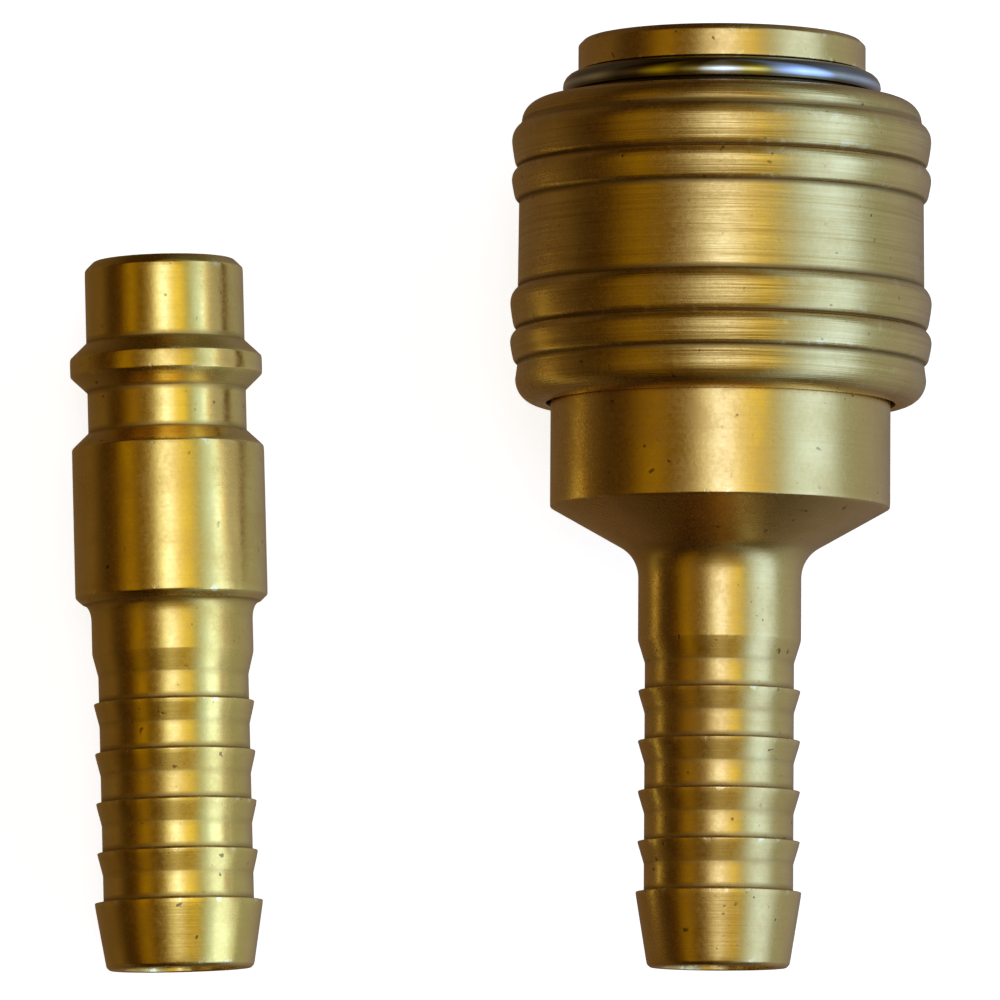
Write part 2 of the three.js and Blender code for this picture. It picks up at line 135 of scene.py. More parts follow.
def rounded(points, radius=0.07, steps=3, closed=True):
    """An outline with each corner P that turns by over 12 degrees replaced by the curve (1-t)^2 A +
    2t(1-t) P + t^2 B, where A and B lie on the two sides next to it, at the radius or 0.4 of the side,
    whichever is nearer. An open outline keeps its two ends."""
    p = np.asarray(points, float)
    p = p[np.linalg.norm(p - np.roll(p, 1, 0), axis=1) > 1e-6]
    before, after = np.roll(p, 1, 0) - p, np.roll(p, -1, 0) - p
    lengths = np.linalg.norm(before, axis=1)[:, None], np.linalg.norm(after, axis=1)[:, None]
    a = p + before / lengths[0] * np.minimum(radius, 0.4 * lengths[0])
    b = p + after / lengths[1] * np.minimum(radius, 0.4 * lengths[1])
    t = np.linspace(0, 1, steps + 1)[None, :, None]
    curve = (1 - t) ** 2 * a[:, None] + 2 * t * (1 - t) * p[:, None] + t**2 * b[:, None]
    sharp = -(before * after).sum(1) < math.cos(math.radians(12)) * lengths[0][:, 0] * lengths[1][:, 0]
    if not closed:
        sharp[[0, -1]] = False
    curve[~sharp] = p[~sharp][:, None]
    kept = sharp[:, None] | (np.arange(steps + 1) == 0)
    return curve[kept]


def eased(points, passes=3):
    """An open run of points with its inner corners cut: each pass replaces a stretch AB by the points
    3/4 A + 1/4 B and 1/4 A + 3/4 B, and keeps the two ends."""
    p = np.asarray(points, float)
    for _ in range(passes):
        cuts = np.stack((0.75 * p[:-1] + 0.25 * p[1:], 0.25 * p[:-1] + 0.75 * p[1:]), 1).reshape(-1, 2)
        p = np.vstack((p[:1], cuts[1:-1], p[-1:]))
    return p


def refined(points, step, closed=True):
    """The outline with points added so that no stretch is longer than step."""
    p = np.vstack((points, points[:1])) if closed else np.asarray(points, float)
    lengths = np.linalg.norm(np.diff(p, axis=0), axis=1)
    counts = np.maximum(1, np.ceil(lengths / step)).astype(int)
    index = np.repeat(np.arange(len(counts)), counts)
    share = np.concatenate([np.arange(n) / n for n in counts])[:, None]
    q = p[index] * (1 - share) + p[index + 1] * share
    return q if closed else np.vstack((q, p[-1:]))


def hollows_and_edges(p):
    """For each point of a loop, how near it is to an inside corner and to an outside corner, 0 to 1: the
    corner's turn over 50 degrees, times exp(-(distance / 0.11 mm)^2)."""
    ahead = np.roll(p, -1, 0) - p
    behind = p - np.roll(p, 1, 0)
    cross = behind[:, 0] * ahead[:, 1] - behind[:, 1] * ahead[:, 0]
    turn = np.arctan2(cross, (behind * ahead).sum(1))
    area = 0.5 * np.sum(p[:, 0] * np.roll(p[:, 1], -1) - np.roll(p[:, 0], -1) * p[:, 1])
    turn = np.degrees(turn) * np.sign(area)
    run = np.concatenate(([0], np.cumsum(np.linalg.norm(ahead, axis=1))[:-1]))
    total = run[-1] + np.linalg.norm(ahead[-1])
    apart = np.abs(run[:, None] - run[None, :])
    near = np.exp(-(np.minimum(apart, total - apart) / 0.11) ** 2)
    window = near > 0.3
    summed = (window * turn[None, :]).sum(1)
    hollow = (near * np.clip(-summed / 50, 0, 1)[None, :]).max(1)
    edge = (near * np.clip(summed / 50, 0, 1)[None, :]).max(1)
    return hollow, edge, run


def tail_outline(t):
    """Up the outside of a hose tail to the top of its neck: the end cone, then a plain stretch and a
    cone for each barb, and a last cone up to the neck."""
    points = [(t.end - t.chamfer, 0), (t.end, t.chamfer), (t.end_barb, t.end_barb_length)]
    for i in range(t.barbs + 1):
        step = t.end_barb_length + i * t.pitch
        peak = step + t.pitch
        top = t.barb if i < t.barbs else t.neck
        points += [(t.valley, step + 0.08), (t.valley, peak - t.cone), (top, peak)]
    return points


def neck_end(t):
    return t.end_barb_length + (t.barbs + 1) * t.pitch + t.neck_length


# ---- Meshes ----------------------------------------------------------------------------------------------


def make_piece(name, points, faces, place, body, material, attributes=None, uv=None, sharp=38):
    """A mesh from half-frame points in mm, with its faces turned outwards and its doubled points merged."""
    turn, origin = place
    row = np.asarray(points, float) @ turn.T * MM + origin
    mesh = bpy.data.meshes.new(name)
    mesh.from_pydata(row, [], np.asarray(faces))
    for key, values in (attributes or {}).items():
        mesh.attributes.new(key, "FLOAT", "POINT").data.foreach_set("value", np.asarray(values, np.float32))
    if uv is not None:
        mesh.uv_layers.new(name="turning").data.foreach_set("uv", np.asarray(uv, np.float32).ravel())
    work = bmesh.new()
    work.from_mesh(mesh)
    bmesh.ops.remove_doubles(work, verts=work.verts, dist=1e-7)
    bmesh.ops.recalc_face_normals(work, faces=work.faces)
    work.to_mesh(mesh)
    work.free()
    mesh.materials.append(material)
    mesh.shade_smooth()
    mesh.set_sharp_from_angle(angle=math.radians(sharp))
    piece = bpy.data.objects.new(name, mesh)
    bpy.context.scene.collection.objects.link(piece)
    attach(piece, body)
    return piece


def grid_faces(rows, columns, wrap_rows, wrap_columns):
    """Four corners per cell of a rows x columns grid of points, joined up where it wraps."""
    i = np.arange(rows if wrap_rows else rows - 1)
    j = np.arange(columns if wrap_columns else columns - 1)
    i, j = (m.ravel() for m in np.meshgrid(i, j, indexing="ij"))
    i2, j2 = (i + 1) % rows, (j + 1) % columns
    return np.column_stack((i * columns + j, i * columns + j2, i2 * columns + j2, i2 * columns + j)), i, j


def carried_round(outline, around=AROUND, step=0.3, closed=True, chatter=0.0, start=0.0):
    """An outline (r, y) carried round the axis: (r sin a, y, -r cos a). r loses chatter x edge x (3 + a slow
    wave of a), which leaves sharp edges slightly ragged. The "turning" map holds the turn, and the distance
    along the outline in mm. An outline that isn't closed stays open between its last point and its first."""
    p = refined(outline, step, closed)
    hollow, edge, run = hollows_and_edges(p)
    a = start + np.arange(around) * 2 * math.pi / around
    wave = np.sin(7 * a + p[:, 1:] * 3) + np.sin(17 * a + p[:, 1:] * 5) + np.sin(29 * a)
    r = p[:, :1] - chatter * edge[:, None] * (3 + wave)
    points = np.stack((r * np.sin(a), np.broadcast_to(p[:, 1:], r.shape), -r * np.cos(a)), -1)
    faces, i, j = grid_faces(len(p), around, closed, True)
    v = np.append(run, run[-1] + np.linalg.norm(p[0] - p[-1]))
    uv = np.stack([
        np.column_stack((j + dj, np.zeros_like(j))) / around + np.column_stack((0 * i, v[i + di]))
        for di, dj in ((0, 0), (0, 1), (1, 1), (1, 0))
    ], 1)
    attributes = {"hollow": np.repeat(hollow, around), "edge": np.repeat(edge, around)}
    return points.reshape(-1, 3), faces, uv, attributes


def turned(name, outline, place, body, slot, material, **shape):
    """One outline carried round the axis, as a piece."""
    points, faces, uv, attributes = carried_round(outline, **shape)
    return make_piece(name, points, faces, place, body, material, attributes, uv)


def drilled_wall(turns, y, half, outer, inner):
    """A tube's wall from y - half to y + half, in six sixths. In the middle of each sixth is a ball's hole.
    Each sixth is carried from its rim, as (angle, y), evenly to the hole's edge on the outer cylinder, down
    the hole's side, over a round seat of radius s about the ball's centre, h = sqrt(s^2 - depth^2), and from
    the seat's edge on the inner cylinder back to the rim."""
    side = 36  # points along each of the rim's four sides
    t, one = np.arange(side) / side, np.ones(side)
    across = np.concatenate((one, 1 - 2 * t, -one, 2 * t - 1)) * math.pi / 6
    up = np.concatenate((2 * t - 1, one, 1 - 2 * t, -one)) * half
    phi = np.arange(4 * side) * math.pi / (2 * side) - math.pi / 4
    hole, seat = BALL.radius + BALL.hole_gap, BALL.radius + BALL.seat_gap
    edge = np.full(4 * side, seat)
    for _ in range(6):
        edge = np.sqrt(seat**2 - (BALL.reach - np.sqrt(inner**2 - (edge * np.cos(phi)) ** 2)) ** 2)

    def toward_edge(share, h, radius):
        return ((1 - share) * across + share * np.arcsin(h * np.cos(phi) / radius),
                (1 - share) * up + share * h * np.sin(phi), np.full(4 * side, radius))

    def down_hole(h, reach):
        return np.arctan2(h * np.cos(phi), reach), h * np.sin(phi), np.hypot(h * np.cos(phi), reach)

    shares = np.linspace(0, 1, 7)
    depth = 0.4
    rows = [toward_edge(share, hole, outer) for share in shares]
    rows += [down_hole(hole, (BALL.reach + outer) / 2), down_hole(hole, BALL.reach),
             down_hole(seat, BALL.reach), down_hole(math.sqrt(seat**2 - depth**2), BALL.reach - depth)]
    rows += [toward_edge(share, edge, inner) for share in shares[::-1]]
    angle, along_y, r = (np.array([row[k] for row in rows]) for k in range(3))
    faces, _, _ = grid_faces(len(rows), 4 * side, False, True)
    parts = []
    for turn in turns:
        a = turn + angle
        points = np.stack((r * np.sin(a), y + along_y, -r * np.cos(a)), -1).reshape(-1, 3)
        chart = np.stack((a / (2 * math.pi), y + along_y), -1).reshape(-1, 2)
        none = np.zeros(len(points))
        parts.append((points, faces, chart[faces], {"hollow": none, "edge": none}))
    return parts


def joined(parts):
    """Several grids as one: their points, their faces renumbered, their maps and their attributes."""
    starts = np.cumsum([0] + [len(part[0]) for part in parts[:-1]])
    points, faces, uv, attributes = zip(*parts)
    return (np.vstack(points), np.vstack([f + start for f, start in zip(faces, starts)]), np.vstack(uv),
            {key: np.concatenate([values[key] for values in attributes]) for key in attributes[0]})


def swept(name, path, radius, place, body, material, around=20):
    """A round wire along a path: c(t) + R (n(t) cos b + m(t) sin b), where n and m square the path's
    direction. The two ends are drawn in to a point, slightly domed. "flank" is |sin b|."""
    d = np.gradient(path, axis=0)
    d /= np.linalg.norm(d, axis=1)[:, None]
    n = np.cross(d, (0, 1, 0))
    n /= np.linalg.norm(n, axis=1)[:, None]
    m = np.cross(d, n)
    dome, brim = 0.11, 0.08  # how far the ends' middles and their rounded brims stand out
    path = np.vstack((path[0] - dome * d[0], path[0] - brim * d[0], path,
                      path[-1] + brim * d[-1], path[-1] + dome * d[-1]))
    radii = np.concatenate(([0, radius - 0.1], np.full(len(path) - 4, radius), [radius - 0.1, 0]))
    n, m = (np.vstack((v[:1], v[:1], v, v[-1:], v[-1:])) for v in (n, m))
    b = np.arange(around) * 2 * math.pi / around
    ring = n[:, None] * np.cos(b)[None, :, None] + m[:, None] * np.sin(b)[None, :, None]
    points = path[:, None] + radii[:, None, None] * ring
    faces, _, _ = grid_faces(len(path), around, False, True)
    flank = {"flank": np.tile(np.abs(np.sin(b)), len(path))}
    return make_piece(name, points.reshape(-1, 3), faces, place, body, material, flank)


# ---- Materials -------------------------------------------------------------------------------------------


class Nodes:
    """A material's node tree, with a short way to add and join its nodes."""

    def __init__(self, name):
        self.material = bpy.data.materials.new(name)
        self.material.use_nodes = True
        self.tree = self.material.node_tree
        self.shader = self.tree.nodes["Principled BSDF"]

    def add(self, kind, inputs=None, **settings):
        node = self.tree.nodes.new(kind)
        for key, value in settings.items():
            setattr(node, key, value)
        for key, value in (inputs or {}).items():
            if isinstance(value, bpy.types.NodeSocket):
                self.tree.links.new(value, node.inputs[key])
            else:
                node.inputs[key].default_value = value
        return node

    def join(self, source, key):
        self.tree.links.new(source, self.shader.inputs[key])

    def math(self, operation, a, b=0.0, clamp=False):
        return self.add("ShaderNodeMath", {0: a, 1: b}, operation=operation, use_clamp=clamp).outputs[0]

    def noise(self, vector, scale, detail=3.0, roughness=0.55, low=0.0, high=1.0):
        """Noise, spread so that low..high of it becomes 0..1."""
        value = self.add("ShaderNodeTexNoise", {"Vector": vector, "Scale": scale, "Detail": detail,
                                                "Roughness": roughness}).outputs["Fac"]
        return self.span(value, low, high)

    def span(self, value, low, high, to_low=0.0, to_high=1.0):
        node = self.add("ShaderNodeMapRange", {"Value": value, "From Min": low, "From Max": high,
                                               "To Min": to_low, "To Max": to_high})
        return node.outputs["Result"]

    def mix(self, share, a, b):
        node = self.add("ShaderNodeMix", data_type="RGBA")
        for key, value in ((0, share), (6, a), (7, b)):
            if isinstance(value, bpy.types.NodeSocket):
                self.tree.links.new(value, node.inputs[key])
            else:
                node.inputs[key].default_value = value if key == 0 else (*value, 1.0)
        return node.outputs[2]

    def attribute(self, name):
        return self.add("ShaderNodeAttribute", attribute_name=name).outputs["Fac"]


def brass(name, colour=(0.80, 0.56, 0.20), rough=0.24, lines=1.0, specks=1.0, mottle=1.0, hollow_grime_and_shade=0.8):
    """Bare turned brass. Fine lines go round the piece, spaced along its outline. The metal is mottled,
    browned in its hollows by grime and by painted shade, brighter and nicked on its edges, and has small
    dark pits."""
    n = Nodes(name)
    place = n.add("ShaderNodeTexCoord").outputs["Object"]
    turning = n.add("ShaderNodeUVMap", uv_map="turning").outputs["UV"]

    def lines_at(round_scale, scale, detail):
        """Streaks that run round the piece: noise stretched along the turn."""
        stretched = n.add("ShaderNodeMapping", {"Vector": turning, "Scale": (round_scale, 1.0, 1.0)})
        return n.noise(stretched.outputs[0], scale, detail, 0.6, 0.32, 0.68)

    fine = lines_at(0.9, 8.0, 4.0)
    broad = lines_at(0.5, 2.6, 3.0)
    cloud = n.noise(place, 260.0, 5.0, 0.6, 0.35, 0.65)
    grain = n.noise(place, 3800.0, 2.0, 0.5, 0.3, 0.7)
    pits = n.noise(place, 2100.0, 1.0, 0.4, 0.70, 0.78)
    scattered = n.math("MULTIPLY", pits, n.noise(place, 420.0, 2.0, 0.5, 0.5, 0.62), clamp=True)
    pit = n.math("MULTIPLY", scattered, specks, clamp=True)
    hollow, edge = n.attribute("hollow"), n.attribute("edge")
    r, g, b = colour
    tone = n.mix(n.math("MULTIPLY", cloud, 0.7 * mottle, clamp=True), colour, (r * 0.86, g * 0.78, b * 0.66))
    tone = n.mix(n.math("MULTIPLY", n.math("MULTIPLY", broad, fine), 0.6 * lines, clamp=True),
                 tone, (r * 0.72, g * 0.64, b * 0.5))
    # painted shade: the hollows are browned partly as grime, partly as the shade that falls in creases and
    # bead valleys
    tone = n.mix(n.math("MULTIPLY", hollow, hollow_grime_and_shade, clamp=True), tone, (0.16, 0.085, 0.025))
    tone = n.mix(n.math("MULTIPLY", edge, 0.25, clamp=True), tone, (min(1, r * 1.12), g * 1.1, b * 1.2))
    nick = n.math("MULTIPLY", edge, n.noise(place, 1300.0, 2.0, 0.5, 0.60, 0.66), clamp=True)
    tone = n.mix(n.math("MULTIPLY", nick, 0.7), tone, (0.97, 0.86, 0.52))
    tone = n.mix(n.math("MULTIPLY", pit, 0.75), tone, (0.10, 0.06, 0.025))
    n.join(tone, "Base Color")
    gloss = n.math("ADD", n.span(cloud, 0, 1, rough - 0.04, rough + 0.06),
                   n.math("MULTIPLY", grain, 0.08))
    gloss = n.math("ADD", gloss, n.math("MULTIPLY", hollow, 0.25))
    n.join(gloss, "Roughness")
    n.shader.inputs["Metallic"].default_value = 1.0
    height = n.math("ADD", n.math("MULTIPLY", fine, 0.9 * lines), n.math("MULTIPLY", broad, 1.1 * lines))
    height = n.math("ADD", height, n.math("MULTIPLY", grain, 0.35 * mottle))
    height = n.math("SUBTRACT", height, n.math("MULTIPLY", n.math("ADD", pit, nick), 1.5))
    bump = n.add("ShaderNodeBump", {"Height": height, "Strength": 0.35, "Distance": 0.000012})
    n.join(bump.outputs["Normal"], "Normal")
    return n.material


def steel(name, rough=0.08, colour=(0.78, 0.79, 0.80), flank_shade=0.0):
    """Bright steel with faint drawing marks. Painted shade darkens a wire's flanks, where it sits in its gap:
    it stands in for the dark surroundings that the flanks would reflect.
    """
    n = Nodes(name)
    place = n.add("ShaderNodeTexCoord").outputs["Object"]
    cloud = n.noise(place, 500.0, 4.0, 0.6, 0.3, 0.7)
    r, g, b = colour
    tone = n.mix(cloud, colour, (r * 0.8, g * 0.8, b * 0.82))
    # painted shade: the wire's flanks are darkened in place of the dark reflections they would pick up
    painted_flank_shade = n.span(n.attribute("flank"), 0.04, 0.32, 0.0, flank_shade)
    n.join(n.mix(painted_flank_shade, tone, (0.13, 0.12, 0.12)), "Base Color")
    n.join(n.span(cloud, 0, 1, rough, rough + 0.1), "Roughness")
    n.shader.inputs["Metallic"].default_value = 1.0
    bump = n.add("ShaderNodeBump", {"Height": n.noise(place, 2500.0, 3.0), "Strength": 0.2,
                                    "Distance": 0.000006})
    n.join(bump.outputs["Normal"], "Normal")
    return n.material


def rubber(name):
    """Black moulded rubber with a fine grain and a little dust."""
    n = Nodes(name)
    place = n.add("ShaderNodeTexCoord").outputs["Object"]
    dust = n.noise(place, 700.0, 5.0, 0.65, 0.45, 0.75)
    n.join(n.mix(dust, (0.012, 0.012, 0.013), (0.05, 0.048, 0.045)), "Base Color")
    n.join(n.span(dust, 0, 1, 0.45, 0.7), "Roughness")
    bump = n.add("ShaderNodeBump", {"Height": n.noise(place, 4000.0, 3.0), "Strength": 0.4,
                                    "Distance": 0.00002})
    n.join(bump.outputs["Normal"], "Normal")
    return n.material


SLEEVE_BRASS = brass("sleeve_brass", colour=(0.82, 0.60, 0.23), lines=2.4, rough=0.2)
BODY_BRASS = brass("body_brass", lines=0.5, specks=1.4, rough=0.22, hollow_grime_and_shade=0.5)
PLUG_BRASS = brass("plug_brass", colour=(0.84, 0.60, 0.17), lines=0.4, rough=0.19, hollow_grime_and_shade=0.5)
INNER_BRASS = brass("inner_brass", lines=0.8, rough=0.28)
RING_STEEL = steel("ring_steel", rough=0.05, colour=(0.66, 0.68, 0.72), flank_shade=0.8)
BALL_STEEL = steel("ball_steel", rough=0.06)
SPRING_STEEL = steel("spring_steel", rough=0.2, colour=(0.55, 0.56, 0.57))
SEAL_RUBBER = rubber("seal_rubber")

# ---- The plug --------------------------------------------------------------------------------------------


def make_plug():
    """The plug's outline: hose tail, hollow shoulder, body, groove, collar and nose, and back through its
    bore."""
    t, p = PLUG_TAIL, PLUG_SIZES
    neck = neck_end(t)
    body = neck + p.shoulder_length
    body_end = body + p.body_length
    groove = body_end + (p.body - p.groove) / p.cone_slope
    groove_end = groove + p.groove_length
    collar = groove_end + (p.body - p.groove) / p.cone_slope
    collar_end = collar + p.collar_length
    nose = collar_end + (p.body - p.nose) / p.cone_slope
    tip = nose + p.nose_length
    # the shoulder hollows out of the neck as a quarter of an ellipse, then meets the body with a chamfer
    a = np.linspace(0.15, 1.0, 8) * math.pi / 2
    shoulder = np.column_stack((t.neck + p.hollow_rise * (1 - np.cos(a)), neck + p.hollow_length * np.sin(a)))
    points = np.vstack((
        tail_outline(t), [(t.neck, neck)], shoulder,
        [(p.body, body), (p.body, body_end), (p.groove, groove), (p.groove, groove_end), (p.body, collar),
         (p.body, collar_end), (p.nose, nose), (p.nose, tip - p.nose_chamfer), (p.nose - p.nose_chamfer, tip),
         (p.nose_bore, tip), (p.nose_bore, tip - p.nose_bore_length),
         (t.bore, tip - p.nose_bore_length - 0.6), (t.bore, 0)],
    ))
    piece = turned("turned_plug", rounded(points), PLUG, "plug", "brass", PLUG_BRASS, chatter=0.004)
    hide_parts("plug")


# ---- The socket's fixed pieces ---------------------------------------------------------------------------


def make_hose_tail():
    """Hose tail, neck, fillet, cone and cylinder, and back down the threaded socket and the bore."""
    t, p = SOCKET_TAIL, REAR_BODY
    slant = math.degrees(math.atan(p.cone_slope))
    back = p.neck_fillet * math.tan(math.radians(slant) / 2)
    start = neck_end(t) + (p.radius - t.neck) / p.cone_slope
    face = start + p.length
    floor = face - p.thread_depth
    seat = floor - p.seat_depth
    points = np.vstack((
        tail_outline(t),
        arc(t.neck + p.neck_fillet, neck_end(t) - back, p.neck_fillet, 180, 180 - slant, 10),
        [(p.radius, start), (p.radius, face - p.chamfer), (p.radius - p.chamfer, face), (p.thread, face),
         (p.thread, floor), (p.seat, floor), (p.seat, seat), (p.waist, seat),
         (t.bore, seat - p.waist_length), (t.bore, 0)],
    ))
    piece = turned("turned_hose_tail", rounded(points), SOCKET, "socket", "brass", BODY_BRASS, chatter=0.004)
    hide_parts("hose_tail")


def make_receiver():
    """Threaded end, stop flange, tube with six ball holes, ring groove and lip, and the stepped bore."""
    p = RECEIVER
    rear, mouth = along("receiver")
    stop = along("hose_tail")[1] + GAP
    groove = sum(along("retaining_ring")) / 2 - RING_WIRE - GAP
    lip = mouth - p.lip_length
    seal = along("nose_seal")[1] + GAP
    step = seal + p.nose_bore_length
    ball_y = sum(along("locking_ball_1")) / 2
    half = 3.4  # of the length of the stretch with the ball holes
    front = [
        (p.radius, ball_y + half), (p.radius, groove), (p.groove, groove), (p.groove, lip), (p.lip, lip),
        (p.lip, mouth - p.lip_round), (p.lip - p.lip_round, mouth), (p.mouth, mouth),
        (p.bore, mouth - p.mouth_chamfer), (p.bore, ball_y + half),
    ]
    back = [
        (p.bore, ball_y - half), (p.bore, step + p.bore - p.nose_bore), (p.nose_bore, step),
        (p.nose_bore, seal), (p.chamber, seal), (p.chamber, rear), (p.thread, rear), (p.thread, stop),
        (p.stop, stop), (p.stop, stop + p.stop_length), (p.radius, stop + p.stop_length),
        (p.radius, ball_y - half),
    ]
    balls = [(np.array(middle(f"locking_ball_{i}")) - SOCKET[1]) / MM for i in range(1, 7)]
    turns = [math.atan2(ball[0], -ball[2]) for ball in balls]
    ends = [carried_round(rounded(outline, closed=False), around=216, closed=False, start=turns[0])
            for outline in (front, back)]
    points, faces, uv, attributes = joined(ends + drilled_wall(turns, ball_y, half, p.radius, p.bore))
    piece = make_piece("turned_receiver", points, faces, SOCKET, "socket", BODY_BRASS,
                       attributes, uv)
    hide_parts("receiver")


def make_retaining_ring():
    """Wire round the ring groove, on a circle, left open at the bottom."""
    centre = sum(along("retaining_ring")) / 2
    gap = math.radians(12)
    a = np.linspace(math.pi + gap / 2, 3 * math.pi - gap / 2, 220)
    r = RING_BORE + RING_WIRE
    path = np.column_stack((r * np.sin(a), np.full_like(a, centre), r * np.cos(a)))
    piece = swept("ring_wire", path, RING_WIRE, SOCKET, "socket", RING_STEEL)
    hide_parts("retaining_ring")


def make_sleeve():
    """Rounded rear rim, a pair of beads, a plain cylinder, a pair of beads and the rounded shoulder, and
    back past the ring's seat, the balls' cam and land, and the spring's bore."""
    p = SLEEVE
    rear, front = along("sleeve")
    ring_seat = sum(along("retaining_ring")) / 2 - RING_WIRE - GAP
    # shares of a bead's width and rise: a steep rear edge, a side leaning out to the crown, a round front
    shape = np.array([(0, 0), (0.07, 0.42), (0.15, 0.62), (0.55, 0.97), (0.68, 1), (0.82, 0.84),
                      (0.94, 0.42), (1, 0)])

    def bead_pair(y, radius):
        return [eased(np.column_stack((radius + shape[:, 1] * p.bead_rise, start + shape[:, 0] * width)))
                for start, width in ((y - p.rear_bead, p.rear_bead), (y, p.front_bead))]

    # the shoulder's arc ends where it runs into the slightly sloping front face
    front_bore = RING_BORE + 2 * RING_WIRE + 2 * GAP
    lean = 90 - math.degrees(math.atan(p.front_slope))
    end_r = p.front_land - p.shoulder + p.shoulder * math.cos(math.radians(lean))
    end_y = front - (end_r - front_bore) * p.front_slope
    shoulder_y = end_y - p.shoulder * math.sin(math.radians(lean))
    # the cam lies a ball's radius and a gap outside the line that the balls' centres follow
    ball_y = sum(along("locking_ball_1")) / 2
    cam_start, cam_end = ball_y - p.cam_lead, ball_y + p.travel
    cam_slope = BALL.lift / p.travel
    offset = (BALL.radius + 1.2 * GAP) * math.hypot(1, cam_slope)
    cam = [BALL.reach + offset + cam_slope * (y - ball_y) for y in (cam_start, cam_end)]
    land = cam_start - p.land_length
    lip_bore = RECEIVER.radius + 3.5 * GAP
    points = np.vstack((
        [(p.bore, rear)],
        arc(p.rim - p.rim_round, rear + p.rim_round, p.rim_round, -90, 0, 12),
        *bead_pair(rear + p.rim_length + p.rear_bead, p.radius + 0.07),
        *bead_pair(front - p.front_pair, p.radius + 0.02),
        arc(p.front_land - p.shoulder, shoulder_y, p.shoulder, 0, lean, 10),
        [(front_bore, front), (front_bore, ring_seat), (lip_bore, ring_seat),
         (lip_bore, ring_seat - p.lip + p.lip_bevel), (lip_bore + 0.45, ring_seat - p.lip),
         (cam[1], ring_seat - p.lip), (cam[1], cam_end), (cam[0], cam_start), (cam[0], land), (p.bore, land)],
    ))
    piece = turned("turned_sleeve", rounded(points, 0.05), SOCKET, "sleeve", "brass", SLEEVE_BRASS,
                   around=256)
    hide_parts("sleeve")


def make_rings():
    """The rubber lip seal, its brass seat, and the poppet's washer."""
    outer = RECEIVER.chamber - GAP
    lip_bore, lip_length, lip_slope = 5.0, 0.6, 0.5
    rear, front = along("nose_seal")
    seal = [(outer, rear), (outer, front), (lip_bore + lip_slope, front), (lip_bore, front - lip_length),
            (lip_bore + 0.9 * lip_slope, (rear + front) / 2), (lip_bore, rear + lip_length),
            (lip_bore + lip_slope, rear)]
    piece = turned("lip_seal", rounded(seal, 0.15), SOCKET, "socket", "rubber", SEAL_RUBBER, around=128)
    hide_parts("nose_seal")
    # the seat's rear edge is a narrow ridge that the poppet's washer closes on
    bore, ridge_inside, ridge_outside, ridge_foot, ridge = 5.1, 5.3, 5.65, 5.9, 0.3
    rear, front = along("valve_seat")
    seat = [(ridge_outside, rear), (ridge_foot, rear + ridge), (outer, rear + ridge), (outer, front),
            (bore, front), (bore, rear + ridge), (ridge_inside, rear)]
    piece = turned("seat_ring", rounded(seat), SOCKET, "socket", "brass", INNER_BRASS, around=128)
    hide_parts("valve_seat")
    washer_inside, washer_outside = 4.65, 6.1
    rear, front = along("poppet_seal")
    washer = [(washer_outside, rear), (washer_outside, front), (washer_inside, front), (washer_inside, rear)]
    piece = turned("poppet_washer", rounded(washer, 0.12), SOCKET, "poppet", "rubber", SEAL_RUBBER,
                   around=128)
    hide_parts("poppet_seal")


# ---- The socket's moving pieces --------------------------------------------------------------------------


def make_balls():
    """Each ball is the surface c + R (cos u cos v, cos u sin v, sin u)."""
    rows, columns = 25, 48
    u = np.linspace(-math.pi / 2, math.pi / 2, rows)[:, None]
    v = np.arange(columns)[None, :] * 2 * math.pi / columns
    unit = np.stack((np.cos(u) * np.cos(v), np.cos(u) * np.sin(v), np.sin(u) + 0 * v), -1).reshape(-1, 3)
    faces, _, _ = grid_faces(rows, columns, False, True)
    for i in range(1, 7):
        node = f"locking_ball_{i}"
        centre = (np.array(middle(node)) - SOCKET[1]) / MM
        points = centre + BALL.radius * unit
        piece = make_piece(f"ball_{i}_steel", points, faces, SOCKET, f"ball_{i}", BALL_STEEL,
                           sharp=180)
        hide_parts(node)


def make_springs():
    """Helices (r cos a, y, r sin a), whose y rises evenly with a from one seat to the other."""
    for node, name, joint, wire, turns, radius in (
        ("sleeve_spring", "sleeve_coil", "sleeve_slide", 0.9, 2.75, 9.7),
        ("valve_spring", "valve_coil", "poppet_slide", 0.5, 3.0, 3.3),
    ):
        rear, front = along(node)
        t = np.linspace(0, 1, 360)
        a = t * turns * 2 * math.pi
        path = np.column_stack((radius * np.cos(a), rear + wire / 2 + (front - rear - wire) * t,
                                radius * np.sin(a)))
        piece = swept(name, path, wire / 2, SOCKET, "socket", SPRING_STEEL, around=14)
        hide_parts(node)
        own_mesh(piece)


make_plug()
make_hose_tail()
make_receiver()
make_retaining_ring()
make_sleeve()
make_rings()
make_balls()
make_springs()
for node, finish in (("valve_guide", INNER_BRASS), ("poppet", INNER_BRASS), ("body_gasket", SEAL_RUBBER),
                     ("spring_washer", SPRING_STEEL)):
    data = frame["nodes"][node].data
    data.materials.clear()
    data.materials.append(finish)

# ---- Floor, light and camera -----------------------------------------------------------------------------


def make_floor():
    """A plain pale floor under both halves."""
    mesh = bpy.data.meshes.new("floor")
    mesh.from_pydata([(-2, -2, 0), (2, -2, 0), (2, 2, 0), (-2, 2, 0)], [], [(0, 1, 2, 3)])
    floor = bpy.data.objects.new("floor", mesh)
    bpy.context.scene.collection.objects.link(floor)
    n = Nodes("pale_floor")
    n.shader.inputs["Base Color"].default_value = (0.86, 0.86, 0.86, 1)
    n.shader.inputs["Roughness"].default_value = 0.9
    n.shader.inputs["Emission Color"].default_value = (1, 1, 1, 1)
    n.shader.inputs["Emission Strength"].default_value = 0.8
    mesh.materials.append(n.material)
    floor.visible_glossy = False
    floor.location.z = -0.00005


